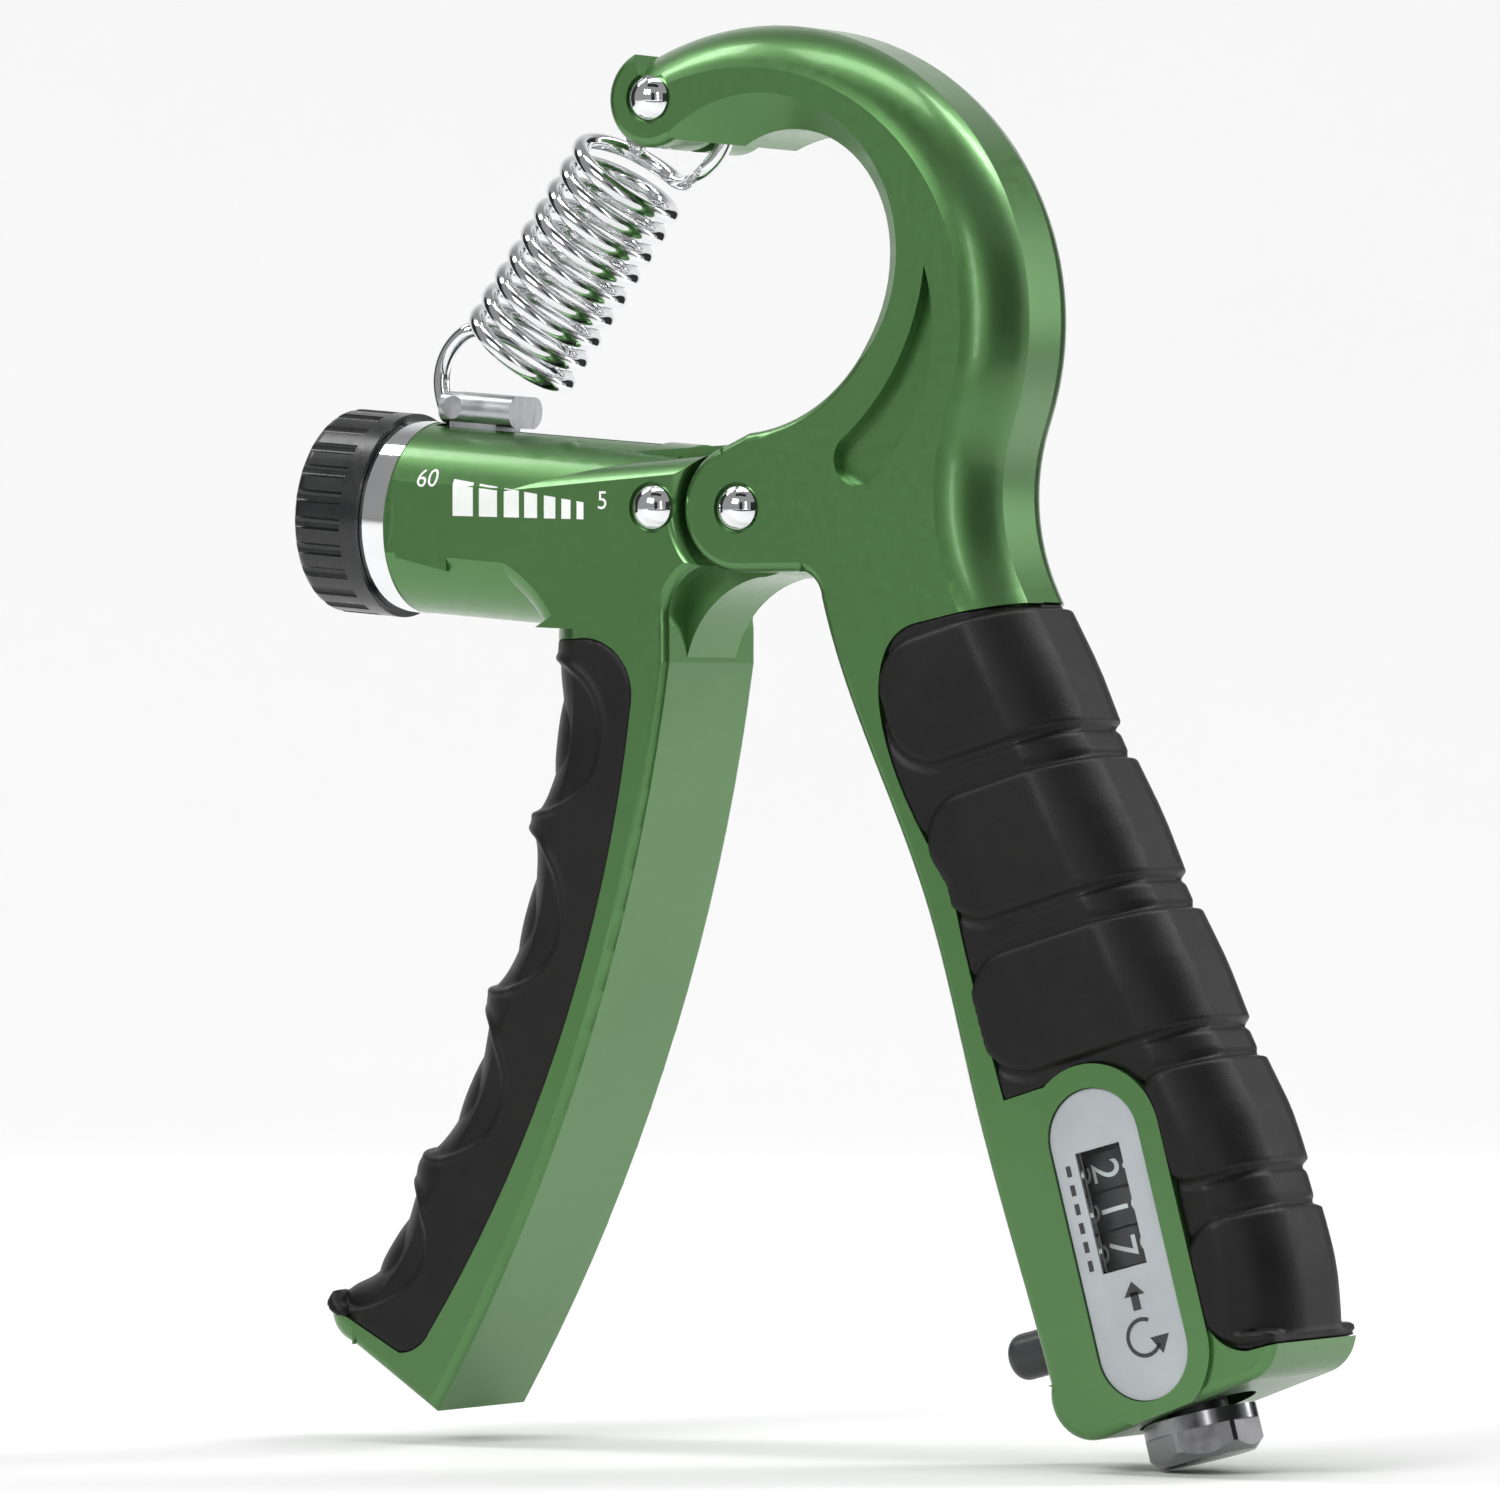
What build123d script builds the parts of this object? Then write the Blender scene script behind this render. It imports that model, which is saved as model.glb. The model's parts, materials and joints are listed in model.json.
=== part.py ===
from build123d import *
import os
from math import acos, atan2, cos, degrees, hypot, radians, sin

# Spring hand grip with an adjustable tension spring and a repetition counter, in millimetres.
# While modelling, the main pivot is the origin, X points to the palm handle, Z is up and the
# front face looks along -Y. At the end everything moves so that the origin is the middle of
# the base of the whole object's box.

# Overall sizes
body_depth = 20.0
grip_length = 91.0
lever_length = 88.0
running_gap = 0.05
slide_gap = 0.1
part_gap = 0.3
overlap = 1.0

# Palm handle and its arch
arch_centre = (0.2, 20.3)
arch_radius = 33.3
arch_end_angle = -20.0
lug_centre = (-11.4, 45.6)
opening_top_centre = (5.0, 28.0)
opening_top_radius = 13.8
opening_low_centre = (-0.54, 27.5)
opening_low_radius = 19.34
bevel_centre = (2.5, 27.8)
bevel_face_radius = 18.0
bevel_deep_radius = 13.0
bevel_depth = 4.5
rim_face_width = 5.0
rim_side_width = 6.5
edge_radius = 1.0
fork_radius = 7.1
fork_clearance = 1.2
grip_top = -10.0
palm_top = (32.5, -9.0)
palm_straight = 0.68
palm_foot = (67.0, 0.87)
wall = 2.2
cover_thickness = 2.0
cover_ledge = 1.2
recess_depth = 1.8

# Lever and its tube
lever_top = -13.0
shoulder_gap = 0.9
tongue_width = 10.4
tongue_radius = 7.6
tube_radius = 10.8
tube_tilt = 5.0
tube_mouth = (-45.8, -0.34)
tube_length = 35.0
bore_radius = 7.5
bush_wall = 1.6
bore_depth = 36.5
slot_width = 5.4
slot_start = 0.6

# Rubber grips
rubber_thickness = 1.8
palm_flange = 6.5
finger_flange = 4.5

# Pins
pin_radius = 2.0
head_radius = 2.5
head_height = 1.4
head_seat = 0.8
head_gap = 0.35
bearing_pin_centre = (-11.0, 0.2)
bush_radius = 3.2
washer_radius = 5.5
washer_thickness = 0.5

# Adjuster
screw_radius = 2.5
journal_room = 3.4
journal_length = 5.2
slider_travel = 20.0
nut_start = 2.2
nut_length = 7.0
hook_station = 3.3
hook_height = 12.7
boss_start = 1.5
boss_length = 9.5
boss_height = 3.6
boss_width = 7.0
wire_gap = 2.8
hook_pin_radius = 1.3
collar_length = 3.2
collar_radius = 10.9
knob_radius = 11.6
knob_length = 8.8
knob_flutes = 24
flute_radius = 0.75
hub_radius = 5.2

# Spring
wire_radius = 0.95
coil_radius = 6.3
coil_top = (-19.0, 39.2)
coil_foot = (-35.3, 17.0)
coil_turns = 9.5
main_turns = 6.5
roller_radius = 2.6
lower_hook_radius = 6.0
pull_swing = 29.0
joint_gap = 0.06

# Counter
counter_out = 47.3
counter_rise = 24.9
counter_tilt = 15.0
counter_set_back = 8.6
pocket_low = (6.3, 15.8)
pocket_mid = (14.9, 11.1)
wheel_radius = 6.5
wheel_width = 4.0
wheel_pitch = 4.3
ratchet_radius = 5.5
ratchet_width = 1.2
ratchet_teeth = 10
spindle_radius = 1.5
frame_wall = 1.2
frame_half_width = 4.6
pinion_place = (-7.7, -4.4)
pinion_radius = 2.0
pinion_shaft_radius = 0.7
pinion_width = 2.0
plate_length = 34.5
plate_width = 11.2
plate_shift = 4.0
plate_sink = 1.2
window_length = 13.4
window_width = 5.6
bezel_width = 2.6
bezel_height = 0.6

# Counter's trigger and reset knob, in the counter's own directions
trigger_radius = 2.6
trigger_drop = 12.4
trigger_wall = 13.3
trigger_reach = 7.4
trigger_travel = 3.0
flange_radius = 3.5
flange_thickness = 0.8
spring_seat = -5.2
seat_reach = 2.4
seat_thickness = 1.0
pawl_back = 5.8
strap_thickness = 0.6
strap_width = 1.4
strap_end = -1.2
reset_radius = 6.3
reset_travel = 1.5
reset_start = 23.4
reset_end = 28.3
reset_bush_radius = 3.4
reset_chamfer = 1.1
reset_skirt = 1.6
facet_depth = 0.7
collar_start = 13.4
spindle_collar_radius = 2.9
spindle_collar_length = 0.6
knob_seat = 2.0
return_wire = 0.25
return_turns = 3
reset_coil_radius = 2.3
trigger_coil_radius = 1.6

# Screws
screw_head_radius = 1.9
screw_head_height = 1.2
screw_shank_radius = 1.0
screw_length = 8.0
boss_radius = 2.2

half = body_depth / 2
counter_centre = (counter_out, grip_top - grip_length + counter_rise)
counter_depth = counter_set_back - half
journal_radius = journal_room - pin_radius
tongue_half = tongue_width / 2
shoulder_radius = fork_radius + shoulder_gap
collar_face = -collar_length
tube_axis = Vector(cos(radians(tube_tilt)), 0, -sin(radians(tube_tilt)))
tube_up = Vector(sin(radians(tube_tilt)), 0, cos(radians(tube_tilt)))
mouth = Vector(tube_mouth[0], 0, tube_mouth[1])
tube_plane = Plane(origin=mouth, x_dir=tube_up, z_dir=tube_axis)
counter_across = Vector(cos(radians(counter_tilt)), 0, sin(radians(counter_tilt)))
counter_axis = Vector(sin(radians(counter_tilt)), 0, -cos(radians(counter_tilt)))
counter_origin = Vector(counter_centre[0], counter_depth, counter_centre[1])
counter_plane = Plane(origin=counter_origin, x_dir=counter_across, z_dir=counter_axis)
trigger_origin = counter_origin + counter_axis * trigger_drop
trigger_plane = Plane(origin=trigger_origin, x_dir=counter_axis, z_dir=counter_across)
flange_start = -trigger_wall + wall + 0.6
fork_half = tongue_half + washer_thickness + slide_gap
frame_low = wheel_pitch + wheel_width / 2 + ratchet_width + part_gap
frame_top = wheel_pitch + wheel_width / 2 + part_gap + frame_wall
hook_offset = mouth + tube_axis * hook_station + tube_up * hook_height
hook_point = (hook_offset.X, hook_offset.Z)
pull = (Vector(*lug_centre) - Vector(*hook_point)).normalized()
coil_axis = Vector(coil_top[0] - coil_foot[0], 0, coil_top[1] - coil_foot[1])
coil_pitch = coil_axis.length / coil_turns
coil_side = coil_axis.normalized().cross(Vector(0, -1, 0))
coil_plane = Plane(origin=(coil_foot[0], 0, coil_foot[1]), x_dir=coil_side, z_dir=coil_axis)
lug_radius = arch_radius - hypot(lug_centre[0] - arch_centre[0], lug_centre[1] - arch_centre[1])


def grip(x, share):
    """Point of the palm handle at a share of the grip's length below its top."""
    return (x, grip_top - share * grip_length)


def stem(x, share):
    """Point of the lever at a share of its length below its top."""
    return (x, lever_top - share * lever_length)


finger_side = [grip(10.5, 0.0), grip(14.0, 0.116), grip(23.5, 0.36), grip(29.8, 0.604), grip(39.4, 0.94)]


def slab(sketch, front, back):
    """Solid between two depths, with its outline drawn in X and Z."""
    return extrude(Plane.XZ.offset(-back) * sketch, amount=back - front)


def rod(centre, radius, front, back):
    """Cylinder along Y."""
    return slab(Pos(*centre) * Circle(radius), front, back)


def outline(*edges):
    """Face bounded by edges drawn in X and Z."""
    return make_face(Curve() + list(edges))


def inset(edges, distance):
    """Edges moved inwards, lines staying lines and tangent arcs staying tangent arcs."""
    moved = []
    for edge in edges:
        ends = []
        for place in (0, 1):
            tangent = edge % place
            ends.append(edge @ place + Vector(tangent.Y, -tangent.X) * distance)
        straight = (edge % 0 - edge % 1).length < 1e-6
        moved.append(Line(*ends) if straight else TangentArc(*ends, tangent=edge % 0))
    return moved


def ring(outer, inner, start, end):
    """Ring round the local Z axis between two heights."""
    sketch = Circle(outer) - Circle(inner)
    return extrude(Pos(0, 0, start) * sketch, amount=end - start)


def bar(radius, start, end):
    """Cylinder on the local Z axis between two heights."""
    return extrude(Pos(0, 0, start) * Circle(radius), amount=end - start)


def block(low, high):
    """Box between two corners."""
    size = [b - a for a, b in zip(low, high)]
    return Pos(*low) * Box(*size, align=(Align.MIN, Align.MIN, Align.MIN))


def on_circle(centre, radius, angle):
    """Point of a circle at an angle in degrees."""
    middle = Vector(*centre)
    return (middle.X + radius * cos(radians(angle)), middle.Y + radius * sin(radians(angle)))


def both_faces(cutter):
    """A cutter for the front face and its mirror image for the back face."""
    return cutter + mirror(cutter, about=Plane.XZ)


def rim_cutter(edge, face_width, side_width, depth=half):
    """Waste along an edge of an outline, leaving a rounded bevel on both faces."""
    path = Wire([Plane.XZ * edge])
    start = path @ 0
    tangent = path % 0
    outward = Vector(tangent.Z * -1, 0, tangent.X)
    bulge = 0.36
    top = depth + overlap
    side = depth - side_width
    profile = make_face(
        ThreePointArc((-face_width, depth), (-bulge * face_width, depth - bulge * side_width), (0, side))
        + Polyline((0, side), (overlap, side), (overlap, top), (-face_width, top), (-face_width, depth))
    )
    cutter = sweep(Plane(origin=start, x_dir=outward, z_dir=tangent) * profile, path=path)
    return both_faces(cutter)


def arch_outer_start():
    """Where the arch's outer circle runs into the round end lug."""
    angle = degrees(atan2(lug_centre[1] - arch_centre[1], lug_centre[0] - arch_centre[0]))
    return on_circle(arch_centre, arch_radius, angle), angle


def handle_outer_edges():
    """The outer edge from the end lug over the arch, the waist and the palm side."""
    start, angle = arch_outer_start()
    end = on_circle(arch_centre, arch_radius, arch_end_angle)
    over = on_circle(arch_centre, arch_radius, (angle + arch_end_angle) / 2)
    tangent = (sin(radians(arch_end_angle)), -cos(radians(arch_end_angle)))
    waist = TangentArc(end, (palm_top[0], palm_top[1]), tangent=tangent)
    palm = Line(waist @ 1, waist @ 1 + waist % 1 * palm_straight * grip_length)
    return [
        ThreePointArc(start, over, end),
        waist,
        palm,
        TangentArc(palm @ 1, grip(*palm_foot), tangent=palm % 1),
    ]


def handle_inner_edges():
    """The rest of the outline: foot, finger side, pivot lug, opening and end lug."""
    start, angle = arch_outer_start()
    lug_low = on_circle(lug_centre, lug_radius, -58)
    lug_left = on_circle(lug_centre, lug_radius, 200)
    opening_start = on_circle(opening_top_centre, opening_top_radius, 118)
    opening_over = on_circle(opening_top_centre, opening_top_radius, 60)
    opening_side = (opening_top_centre[0] + opening_top_radius, opening_top_centre[1])
    side_low = (opening_low_centre[0] + opening_low_radius, opening_low_centre[1])
    low_mid = on_circle(opening_low_centre, opening_low_radius, -45)
    low_end = on_circle(opening_low_centre, opening_low_radius, -85)
    lug_top = on_circle((0, 0), fork_radius, 108)
    lug_far = on_circle((0, 0), fork_radius, 190)
    lug_foot = (0, -fork_radius)
    corner = (8.2, -fork_radius)
    foot_left = Vector(*grip(46.0, 1.0))
    foot_right = Vector(*grip(64.0, 0.925))
    foot_end = Vector(*grip(*palm_foot))
    finger_foot = Vector(*finger_side[-1])
    foot_line = foot_right - foot_left
    return [
        TangentArc(foot_right, foot_end, tangent=foot_line).reversed(),
        Line(foot_right, foot_left),
        TangentArc(foot_left, finger_foot, tangent=foot_line * -1),
        Spline(finger_side[::-1], tangents=[(-0.3, 1), (-0.25, 1)]),
        ThreePointArc(finger_side[0], (9.8, -8.2), corner),
        Line(corner, lug_foot),
        ThreePointArc(lug_foot, lug_far, lug_top),
        Line(lug_top, low_end),
        ThreePointArc(low_end, low_mid, side_low),
        Line(side_low, opening_side),
        ThreePointArc(opening_side, opening_over, opening_start),
        Line(opening_start, lug_low),
        ThreePointArc(lug_low, lug_left, start),
    ]


def softened(solid, edges):
    """The solid with a small round along each drawn edge, on both faces."""
    for edge in edges:
        solid -= rim_cutter(edge, edge_radius, edge_radius)
    return solid


def handle_envelope():
    """Outer shape of the palm handle, rubber included."""
    outer = handle_outer_edges()
    inner = handle_inner_edges()
    solid = slab(outline(*outer, *inner), -half, half)
    for edge in outer:
        solid -= rim_cutter(edge, rim_face_width, rim_side_width)
    dish_plane = Plane(origin=(bevel_centre[0], bevel_depth - half, bevel_centre[1]), z_dir=(0, -1, 0))
    dish = dish_plane * Cone(
        bevel_deep_radius,
        bevel_face_radius + overlap,
        bevel_depth + overlap,
        align=(Align.CENTER, Align.CENTER, Align.MIN),
    )
    return softened(solid - both_faces(dish), inner)


def skin_core(edges, far_x):
    """What lies inside a rubber skin that wraps the given outer edges."""
    inner = inset(edges, rubber_thickness)
    start = inner[0] @ 0
    end = inner[-1] @ 1
    face = outline(*inner, Polyline(end, (far_x, end.Y), (far_x, start.Y), start))
    depth = half - rubber_thickness
    solid = slab(face, -depth, depth)
    shrink = 0.6 * rubber_thickness
    for edge in inner:
        solid -= rim_cutter(edge, rim_face_width - shrink, rim_side_width - shrink, depth)
    return solid


def bezel_pill(margin):
    """Long round-ended shape of the counter's plate, grown by a margin."""
    centre = Vector(*counter_point(0, plate_shift))
    pill = SlotOverall(plate_length + 2 * margin, plate_width + 2 * margin)
    return Pos(centre.X, centre.Y) * Rot(0, 0, counter_tilt - 90) * pill


def palm_front_region():
    """Where the palm rubber covers the front face."""
    left = [grip(18.4, 0.085), grip(26.4, 0.33), grip(33.9, 0.602)]
    below_bezel = grip(58.3, 0.835)
    low = grip(64.0, 0.89)
    far = grip(75.0, 0.857)
    top = grip(22.5, 0.032)
    top_far = grip(75.0, -0.09)
    region = outline(
        Spline(top, *left, tangents=[(-1, -0.3), (0.32, -1)]),
        Line(left[-1], grip(41.0, 0.578)),
        Line(grip(41.0, 0.578), below_bezel),
        ThreePointArc(below_bezel, grip(60.2, 0.878), low),
        Line(low, far),
        Line(far, top_far),
        Line(top_far, top),
    )
    return region - bezel_pill(bezel_width)


def palm_back_region():
    """Where the palm rubber covers the back face."""
    edges = handle_outer_edges()[2:]
    inner = inset(edges, palm_flange)
    top = inner[0] @ 0
    low = grip(64.0, 0.89)
    far = grip(75.0, 0.857)
    return outline(*inner, Polyline(inner[-1] @ 1, low, far, grip(75.0, -0.09), top))


def make_palm_rubber(envelope):
    """Rubber skin on the palm side of the handle."""
    edges = handle_outer_edges()[1:]
    edges.append(Line(edges[-1] @ 1, edges[-1] @ 1 + edges[-1] % 1 * 12))
    front = envelope & slab(palm_front_region(), -half - overlap, 0)
    back = envelope & slab(palm_back_region(), 0, half + overlap)
    return front + back - skin_core(edges, 0)


def handle_pocket():
    """Outline of the hollow behind the grip and the counter."""
    palm = handle_outer_edges()
    line = palm[2]
    side = palm_flange + cover_ledge + 1.4
    right = [line @ 0.2 - Vector(side, 0), line @ 1 - Vector(side, 0), grip(palm_foot[0] - side, 0.85)]
    foot = [grip(57.0, 0.905), grip(44.5, 0.95)]
    low_left = (counter_centre[0] - pocket_low[0], counter_centre[1] - pocket_low[1])
    mid_left = (counter_centre[0] - pocket_mid[0], counter_centre[1] + pocket_mid[1])
    left = [low_left, mid_left, grip(25.9, 0.36), grip(17.0, 0.15)]
    return make_face(Polyline(*right, *foot, *left, close=True))


def counter_point(across, along):
    """Point of the front view given in the counter's own directions."""
    point = Vector(counter_centre[0], 0, counter_centre[1]) + counter_across * across + counter_axis * along
    return (point.X, point.Z)


def handle_screw_places():
    """Where the screws of the handle's back cover sit."""
    return [grip(24.6, 0.2), grip(36.5, 0.46), counter_point(6.0, 11.8)]


def cover_screw(centre):
    """Countersunk screw driven in from the back."""
    head = rod(centre, screw_head_radius, half - screw_head_height, half - slide_gap)
    shank = rod(centre, screw_shank_radius, half - screw_length, half - screw_head_height)
    slot = slab(Pos(*centre) * Rectangle(2.6, 0.6), half - 0.5, half)
    return head + shank - slot


def make_screws(places):
    """A group of equal cover screws."""
    return Compound([cover_screw(place) for place in places])


def make_cover(pocket, places):
    """Back cover that drops into the ledge round a pocket."""
    face = offset(pocket, amount=cover_ledge - slide_gap)
    cover = slab(face, half - cover_thickness, half - slide_gap)
    for place in places:
        cover -= rod(place, screw_head_radius, half - screw_head_height, half)
        cover -= rod(place, screw_shank_radius, half - cover_thickness, half)
    return cover


def hollowed(solid, pocket, places):
    """A body with its pocket, the ledge for the cover and the screw bosses."""
    solid -= slab(pocket, wall - half, half + overlap)
    solid -= slab(offset(pocket, amount=cover_ledge), half - cover_thickness, half + overlap)
    for place in places:
        solid += rod(place, boss_radius, wall - half - slide_gap, half - cover_thickness)
        solid -= rod(place, screw_shank_radius, half - screw_length, half)
    return solid


def pin_seats(centre):
    """Bore and head seats of a domed pin."""
    seat = rod(centre, head_radius + head_gap, -half - overlap, head_seat - half)
    return rod(centre, pin_radius, -half, half) + both_faces(seat)


def make_domed_pin(centre):
    """Pin with a domed head on each face."""
    seat = half - head_seat
    tip = half + head_height
    dome_radius = (head_radius**2 + head_height**2) / (2 * head_height)
    dome = Pos(centre[0], tip - dome_radius, centre[1]) * Sphere(dome_radius)
    head = rod(centre, head_radius, seat, tip) & dome
    return rod(centre, pin_radius, -seat, seat) + both_faces(head)


def upper_loop_centre(swing=0):
    """Centre of the spring's upper loop, hung on its roller at a swing in degrees."""
    hang = coil_radius - wire_radius - roller_radius - running_gap
    return Vector(*lug_centre) - pull.rotate(Axis.Z, swing) * hang


def loop_slot():
    """Room for the spring's upper loop in the arch's end, at every swing."""
    discs = []
    for swing in (0, pull_swing / 2, pull_swing):
        centre = upper_loop_centre(swing)
        discs.append(Pos(centre.X, centre.Y) * Circle(coil_radius + wire_radius + 0.9))
    return slab(Sketch() + discs, -wire_gap / 2, wire_gap / 2)


def teardrop():
    """Decorative recess on the arch, pointed at the top and round at the foot."""
    tip = (23.9, 26.2)
    centre = (15.5, 5.2)
    radius = 3.0
    right = on_circle(centre, radius, -35)
    left = on_circle(centre, radius, 140)
    return outline(
        ThreePointArc(tip, (24.4, 14.6), right),
        ThreePointArc(right, on_circle(centre, radius, -127), left),
        ThreePointArc(left, (19.9, 14.6), tip),
    )


def make_handle_body(envelope, rubber):
    """Palm handle with its arch, fork, pocket and counter seat."""
    body = envelope - rubber
    body = hollowed(body, handle_pocket(), handle_screw_places())
    body -= rod((0, 0), fork_radius + fork_clearance, -fork_half, fork_half)
    body -= pin_seats((0, 0)) + pin_seats(lug_centre) + loop_slot()
    body -= both_faces(slab(teardrop(), -half - overlap, recess_depth - half))
    bezel = bezel_pill(bezel_width) & outline(*handle_outer_edges(), *handle_inner_edges())
    body += slab(bezel, -half - bezel_height, overlap - half)
    body -= slab(bezel_pill(0), -half - overlap, plate_sink - half)
    window = Pos(*counter_centre) * Rot(0, 0, counter_tilt) * Rectangle(window_width + 1, window_length + 1)
    body -= slab(window, -half, wall - half + overlap)
    body -= trigger_plane * bar(trigger_radius + slide_gap, -trigger_wall - 3, -trigger_wall + 4)
    body -= trigger_plane * bar(flange_radius + part_gap, flange_start - part_gap, spring_seat)
    seat_front = wall - half - counter_depth - slide_gap
    seat_end = (seat_reach, trigger_radius, spring_seat + seat_thickness)
    body += trigger_plane * block((-seat_reach, seat_front, spring_seat), seat_end)
    body -= counter_plane * bar(reset_bush_radius + slide_gap, 14, reset_end)
    body -= counter_plane * bar(reset_radius + part_gap, reset_start - reset_travel - part_gap, reset_end)
    return body


def make_counter_plate():
    """Pale face plate round the counter's window."""
    plate = slab(bezel_pill(-slide_gap), -half - 0.2, plate_sink - half)
    return plate - slab(counter_window(0), -half - overlap, half)


def counter_window(margin):
    """Outline of the counter's window."""
    return Pos(*counter_centre) * Rot(0, 0, counter_tilt) * Rectangle(
        window_width + 2 * margin, window_length + 2 * margin
    )


def make_window_lens():
    """Clear lens in the counter's window."""
    return slab(counter_window(-running_gap), -half, 0.9 - half)


def number_wheel(place):
    """One number wheel, free on the spindle."""
    start = place * wheel_pitch - wheel_width / 2
    return ring(wheel_radius, spindle_radius + running_gap, start, start + wheel_width)


def make_units_wheel():
    """Units wheel with its ratchet."""
    face = wheel_pitch + wheel_width / 2
    teeth = Circle(ratchet_radius)
    for tooth in range(ratchet_teeth):
        angle = 360 * tooth / ratchet_teeth
        teeth -= Rot(0, 0, angle) * Pos(ratchet_radius, 0) * Rot(0, 0, 20) * Rectangle(1.4, 1.1)
    ratchet = extrude(Pos(0, 0, face) * teeth, amount=ratchet_width)
    wheel = number_wheel(1) + (ratchet - bar(spindle_radius + running_gap, face, face + ratchet_width))
    return counter_plane * wheel


def make_counter_frame():
    """Bent bracket that holds the spindle and the pinion shaft behind the wheels."""
    back = -wheel_radius - part_gap - frame_wall
    top = -frame_top
    low = frame_low
    side = pinion_place[0] - pinion_radius
    spine = block((2.6, back, top), (frame_half_width, back + frame_wall, low + frame_wall))
    upper = block((side, back, top), (frame_half_width, spindle_radius + 1.4, top + frame_wall))
    lower = block((2.6, back, low), (frame_half_width, 1, low + frame_wall))
    lower += block((-2.8, -2.8, low), (frame_half_width, spindle_radius + 1.4, low + frame_wall))
    arm = block((side, -2.8, low), (-2.8, -1.6, low + frame_wall))
    arm += block((side, back, low), (side + 2 * pinion_radius, -1.6, low + frame_wall))
    front_wall = half - wall + counter_depth
    foot_start = (frame_half_width - frame_wall, back, top)
    foot = block(foot_start, (frame_half_width, front_wall, top + frame_wall))
    frame = spine + upper + lower + arm + foot
    frame -= bar(spindle_radius + running_gap, top - overlap, low + frame_wall + overlap)
    frame -= Pos(*pinion_place) * bar(pinion_shaft_radius, top - overlap, low + frame_wall + overlap)
    return counter_plane * frame


def make_pinion_shaft():
    """Shaft of the two carry pinions."""
    return counter_plane * Pos(*pinion_place) * bar(pinion_shaft_radius, -frame_top, frame_low + frame_wall)


def make_carry_pinion(place):
    """Small pinion that carries tens from one wheel to the next."""
    star = RegularPolygon(radius=pinion_radius, side_count=8) - Circle(pinion_shaft_radius + running_gap)
    start = place * wheel_pitch - pinion_width / 2
    return counter_plane * Pos(*pinion_place) * extrude(Pos(0, 0, start) * star, amount=pinion_width)


def make_spindle():
    """Counter spindle, turned by the reset knob."""
    spindle = bar(spindle_radius, -frame_top, reset_start + knob_seat)
    collar = ring(spindle_collar_radius, spindle_radius, collar_start, collar_start + spindle_collar_length)
    return counter_plane * (spindle + collar)


def make_reset_bush():
    """Bush that slides in the foot of the handle and carries the spindle."""
    start = collar_start + spindle_collar_length + slide_gap
    bore = spindle_radius + running_gap
    return counter_plane * ring(reset_bush_radius, bore, start, reset_start - slide_gap)


def make_reset_knob():
    """Faceted push-and-turn knob at the foot of the handle."""
    knob = bar(reset_radius, reset_start, reset_end)
    knob = chamfer(knob.edges().group_by(Axis.Z)[-1], reset_chamfer)
    facet_start = reset_start + reset_skirt
    for facet in range(6):
        face = reset_radius - facet_depth
        flat = block((face, -reset_radius, facet_start), (face + overlap, reset_radius, reset_end))
        knob -= Rot(0, 0, 60 * facet) * flat
    return counter_plane * (knob - bar(spindle_radius, reset_start - overlap, reset_start + knob_seat))


def coil(radius, wire, pitch, turns):
    """Left-handed helical wire on the local Z axis, starting on the local -X side."""
    path = Helix(pitch=pitch, height=pitch * turns, radius=radius, lefthand=True)
    profile = Plane(origin=path @ 0, z_dir=path % 0) * Circle(wire)
    return Rot(0, 0, 180) * sweep(profile, path=path, is_frenet=True)


def make_reset_spring():
    """Return spring between the counter frame and the spindle's collar."""
    low = frame_low + frame_wall + 2 * return_wire
    pitch = (collar_start - low - 2 * return_wire) / return_turns
    return counter_plane * Pos(0, 0, low) * coil(reset_coil_radius, return_wire, pitch, return_turns)


def make_trigger_button():
    """Plunger that the lever strikes, with the flange that keeps it in."""
    button = bar(trigger_radius, -trigger_wall - trigger_reach, flange_start)
    button = fillet(button.edges().group_by(Axis.Z)[0], trigger_radius * 0.6)
    return trigger_plane * (button + bar(flange_radius, flange_start, flange_start + flange_thickness))


def make_trigger_spring():
    """Return spring between the trigger's flange and its seat."""
    start = flange_start + flange_thickness + 2 * return_wire
    pitch = (spring_seat - start - 2 * return_wire) / return_turns
    return trigger_plane * Pos(0, 0, start) * coil(trigger_coil_radius, return_wire, pitch, return_turns)


def make_trigger_pawl():
    """Strap on the trigger's flange that steps the ratchet."""
    start = flange_start + flange_thickness
    reach = trigger_drop - wheel_pitch - wheel_width / 2 - part_gap + slide_gap
    back = pawl_back + strap_thickness
    strap = block((-1, trigger_coil_radius + strap_thickness, start), (1, back, start + strap_thickness))
    strap += block((-1, pawl_back, start), (1, back, strap_end))
    strap += block((-reach, pawl_back, strap_end - strap_width), (1, back, strap_end))
    return trigger_plane * strap


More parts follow.
